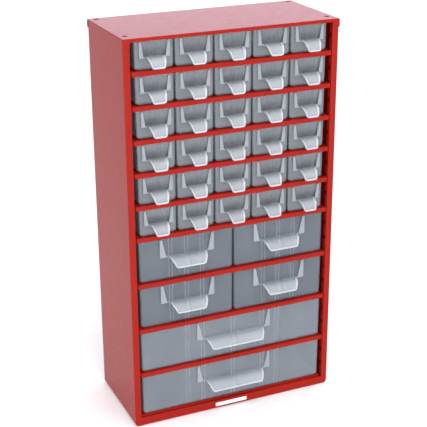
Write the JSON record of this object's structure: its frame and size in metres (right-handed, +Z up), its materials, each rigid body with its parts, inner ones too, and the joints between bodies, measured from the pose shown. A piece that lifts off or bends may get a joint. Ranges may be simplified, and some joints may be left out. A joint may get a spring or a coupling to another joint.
{
  "type": "small parts drawer cabinet",
  "caption": "Folded sheet-steel cabinet with rows of pull-out see-through drawers in several sizes, for sorting small parts.",
  "frame": {"origin": "centre of the bounding box on the surface that the cabinet stands on", "axes": "+Z up, +X to the right when facing the drawers, +Y from the drawers' faces towards the back panel; drawers pull out along -Y"},
  "size_m": [0.306, 0.155, 0.552],
  "materials": {
    "red_paint": "semi-gloss powder coat",
    "drawer_plastic": "milky translucent polypropylene, satin",
    "badge_white": "smooth print"
  },
  "bodies": {
    "cabinet": {"case_shell": "red_paint", "top_cap": "red_paint", "back_panel": "red_paint", "floor_shelf": "red_paint", "badge": "badge_white", "shelf_1": "red_paint", "shelf_2": "red_paint", "shelf_3": "red_paint", "shelf_4": "red_paint", "shelf_5": "red_paint", "shelf_6": "red_paint", "shelf_7": "red_paint", "shelf_8": "red_paint", "shelf_9": "red_paint"},
    "large_drawer_r1": {"large_drawer_r1": "drawer_plastic"},
    "large_drawer_r2": {"large_drawer_r2": "drawer_plastic"},
    "medium_drawer_r3_c1": {"medium_drawer_r3_c1": "drawer_plastic"},
    "medium_drawer_r3_c2": {"medium_drawer_r3_c2": "drawer_plastic"},
    "medium_drawer_r4_c1": {"medium_drawer_r4_c1": "drawer_plastic"},
    "medium_drawer_r4_c2": {"medium_drawer_r4_c2": "drawer_plastic"},
    "small_drawer_r5_c1": {"small_drawer_r5_c1": "drawer_plastic"},
    "small_drawer_r5_c2": {"small_drawer_r5_c2": "drawer_plastic"},
    "small_drawer_r5_c3": {"small_drawer_r5_c3": "drawer_plastic"},
    "small_drawer_r5_c4": {"small_drawer_r5_c4": "drawer_plastic"},
    "small_drawer_r5_c5": {"small_drawer_r5_c5": "drawer_plastic"},
    "small_drawer_r6_c1": {"small_drawer_r6_c1": "drawer_plastic"},
    "small_drawer_r6_c2": {"small_drawer_r6_c2": "drawer_plastic"},
    "small_drawer_r6_c3": {"small_drawer_r6_c3": "drawer_plastic"},
    "small_drawer_r6_c4": {"small_drawer_r6_c4": "drawer_plastic"},
    "small_drawer_r6_c5": {"small_drawer_r6_c5": "drawer_plastic"},
    "small_drawer_r7_c1": {"small_drawer_r7_c1": "drawer_plastic"},
    "small_drawer_r7_c2": {"small_drawer_r7_c2": "drawer_plastic"},
    "small_drawer_r7_c3": {"small_drawer_r7_c3": "drawer_plastic"},
    "small_drawer_r7_c4": {"small_drawer_r7_c4": "drawer_plastic"},
    "small_drawer_r7_c5": {"small_drawer_r7_c5": "drawer_plastic"},
    "small_drawer_r8_c1": {"small_drawer_r8_c1": "drawer_plastic"},
    "small_drawer_r8_c2": {"small_drawer_r8_c2": "drawer_plastic"},
    "small_drawer_r8_c3": {"small_drawer_r8_c3": "drawer_plastic"},
    "small_drawer_r8_c4": {"small_drawer_r8_c4": "drawer_plastic"},
    "small_drawer_r8_c5": {"small_drawer_r8_c5": "drawer_plastic"},
    "small_drawer_r9_c1": {"small_drawer_r9_c1": "drawer_plastic"},
    "small_drawer_r9_c2": {"small_drawer_r9_c2": "drawer_plastic"},
    "small_drawer_r9_c3": {"small_drawer_r9_c3": "drawer_plastic"},
    "small_drawer_r9_c4": {"small_drawer_r9_c4": "drawer_plastic"},
    "small_drawer_r9_c5": {"small_drawer_r9_c5": "drawer_plastic"},
    "small_drawer_r10_c1": {"small_drawer_r10_c1": "drawer_plastic"},
    "small_drawer_r10_c2": {"small_drawer_r10_c2": "drawer_plastic"},
    "small_drawer_r10_c3": {"small_drawer_r10_c3": "drawer_plastic"},
    "small_drawer_r10_c4": {"small_drawer_r10_c4": "drawer_plastic"},
    "small_drawer_r10_c5": {"small_drawer_r10_c5": "drawer_plastic"}
  },
  "joints": [
    {"name": "large_drawer_r1_slide", "type": "slide", "parent": "cabinet", "child": "large_drawer_r1", "axis": [0, -1, 0], "range_m": [0, 0.112]},
    {"name": "large_drawer_r2_slide", "type": "slide", "parent": "cabinet", "child": "large_drawer_r2", "axis": [0, -1, 0], "range_m": [0, 0.112]},
    {"name": "medium_drawer_r3_c1_slide", "type": "slide", "parent": "cabinet", "child": "medium_drawer_r3_c1", "axis": [0, -1, 0], "range_m": [0, 0.112]},
    {"name": "medium_drawer_r3_c2_slide", "type": "slide", "parent": "cabinet", "child": "medium_drawer_r3_c2", "axis": [0, -1, 0], "range_m": [0, 0.112]},
    {"name": "medium_drawer_r4_c1_slide", "type": "slide", "parent": "cabinet", "child": "medium_drawer_r4_c1", "axis": [0, -1, 0], "range_m": [0, 0.112]},
    {"name": "medium_drawer_r4_c2_slide", "type": "slide", "parent": "cabinet", "child": "medium_drawer_r4_c2", "axis": [0, -1, 0], "range_m": [0, 0.112]},
    {"name": "small_drawer_r5_c1_slide", "type": "slide", "parent": "cabinet", "child": "small_drawer_r5_c1", "axis": [0, -1, 0], "range_m": [0, 0.112]},
    {"name": "small_drawer_r5_c2_slide", "type": "slide", "parent": "cabinet", "child": "small_drawer_r5_c2", "axis": [0, -1, 0], "range_m": [0, 0.112]},
    {"name": "small_drawer_r5_c3_slide", "type": "slide", "parent": "cabinet", "child": "small_drawer_r5_c3", "axis": [0, -1, 0], "range_m": [0, 0.112]},
    {"name": "small_drawer_r5_c4_slide", "type": "slide", "parent": "cabinet", "child": "small_drawer_r5_c4", "axis": [0, -1, 0], "range_m": [0, 0.112]},
    {"name": "small_drawer_r5_c5_slide", "type": "slide", "parent": "cabinet", "child": "small_drawer_r5_c5", "axis": [0, -1, 0], "range_m": [0, 0.112]},
    {"name": "small_drawer_r6_c1_slide", "type": "slide", "parent": "cabinet", "child": "small_drawer_r6_c1", "axis": [0, -1, 0], "range_m": [0, 0.112]},
    {"name": "small_drawer_r6_c2_slide", "type": "slide", "parent": "cabinet", "child": "small_drawer_r6_c2", "axis": [0, -1, 0], "range_m": [0, 0.112]},
    {"name": "small_drawer_r6_c3_slide", "type": "slide", "parent": "cabinet", "child": "small_drawer_r6_c3", "axis": [0, -1, 0], "range_m": [0, 0.112]},
    {"name": "small_drawer_r6_c4_slide", "type": "slide", "parent": "cabinet", "child": "small_drawer_r6_c4", "axis": [0, -1, 0], "range_m": [0, 0.112]},
    {"name": "small_drawer_r6_c5_slide", "type": "slide", "parent": "cabinet", "child": "small_drawer_r6_c5", "axis": [0, -1, 0], "range_m": [0, 0.112]},
    {"name": "small_drawer_r7_c1_slide", "type": "slide", "parent": "cabinet", "child": "small_drawer_r7_c1", "axis": [0, -1, 0], "range_m": [0, 0.112]},
    {"name": "small_drawer_r7_c2_slide", "type": "slide", "parent": "cabinet", "child": "small_drawer_r7_c2", "axis": [0, -1, 0], "range_m": [0, 0.112]},
    {"name": "small_drawer_r7_c3_slide", "type": "slide", "parent": "cabinet", "child": "small_drawer_r7_c3", "axis": [0, -1, 0], "range_m": [0, 0.112]},
    {"name": "small_drawer_r7_c4_slide", "type": "slide", "parent": "cabinet", "child": "small_drawer_r7_c4", "axis": [0, -1, 0], "range_m": [0, 0.112]},
    {"name": "small_drawer_r7_c5_slide", "type": "slide", "parent": "cabinet", "child": "small_drawer_r7_c5", "axis": [0, -1, 0], "range_m": [0, 0.112]},
    {"name": "small_drawer_r8_c1_slide", "type": "slide", "parent": "cabinet", "child": "small_drawer_r8_c1", "axis": [0, -1, 0], "range_m": [0, 0.112]},
    {"name": "small_drawer_r8_c2_slide", "type": "slide", "parent": "cabinet", "child": "small_drawer_r8_c2", "axis": [0, -1, 0], "range_m": [0, 0.112]},
    {"name": "small_drawer_r8_c3_slide", "type": "slide", "parent": "cabinet", "child": "small_drawer_r8_c3", "axis": [0, -1, 0], "range_m": [0, 0.112]},
    {"name": "small_drawer_r8_c4_slide", "type": "slide", "parent": "cabinet", "child": "small_drawer_r8_c4", "axis": [0, -1, 0], "range_m": [0, 0.112]},
    {"name": "small_drawer_r8_c5_slide", "type": "slide", "parent": "cabinet", "child": "small_drawer_r8_c5", "axis": [0, -1, 0], "range_m": [0, 0.112]},
    {"name": "small_drawer_r9_c1_slide", "type": "slide", "parent": "cabinet", "child": "small_drawer_r9_c1", "axis": [0, -1, 0], "range_m": [0, 0.112]},
    {"name": "small_drawer_r9_c2_slide", "type": "slide", "parent": "cabinet", "child": "small_drawer_r9_c2", "axis": [0, -1, 0], "range_m": [0, 0.112]},
    {"name": "small_drawer_r9_c3_slide", "type": "slide", "parent": "cabinet", "child": "small_drawer_r9_c3", "axis": [0, -1, 0], "range_m": [0, 0.112]},
    {"name": "small_drawer_r9_c4_slide", "type": "slide", "parent": "cabinet", "child": "small_drawer_r9_c4", "axis": [0, -1, 0], "range_m": [0, 0.112]},
    {"name": "small_drawer_r9_c5_slide", "type": "slide", "parent": "cabinet", "child": "small_drawer_r9_c5", "axis": [0, -1, 0], "range_m": [0, 0.112]},
    {"name": "small_drawer_r10_c1_slide", "type": "slide", "parent": "cabinet", "child": "small_drawer_r10_c1", "axis": [0, -1, 0], "range_m": [0, 0.112]},
    {"name": "small_drawer_r10_c2_slide", "type": "slide", "parent": "cabinet", "child": "small_drawer_r10_c2", "axis": [0, -1, 0], "range_m": [0, 0.112]},
    {"name": "small_drawer_r10_c3_slide", "type": "slide", "parent": "cabinet", "child": "small_drawer_r10_c3", "axis": [0, -1, 0], "range_m": [0, 0.112]},
    {"name": "small_drawer_r10_c4_slide", "type": "slide", "parent": "cabinet", "child": "small_drawer_r10_c4", "axis": [0, -1, 0], "range_m": [0, 0.112]},
    {"name": "small_drawer_r10_c5_slide", "type": "slide", "parent": "cabinet", "child": "small_drawer_r10_c5", "axis": [0, -1, 0], "range_m": [0, 0.112]}
  ]
}
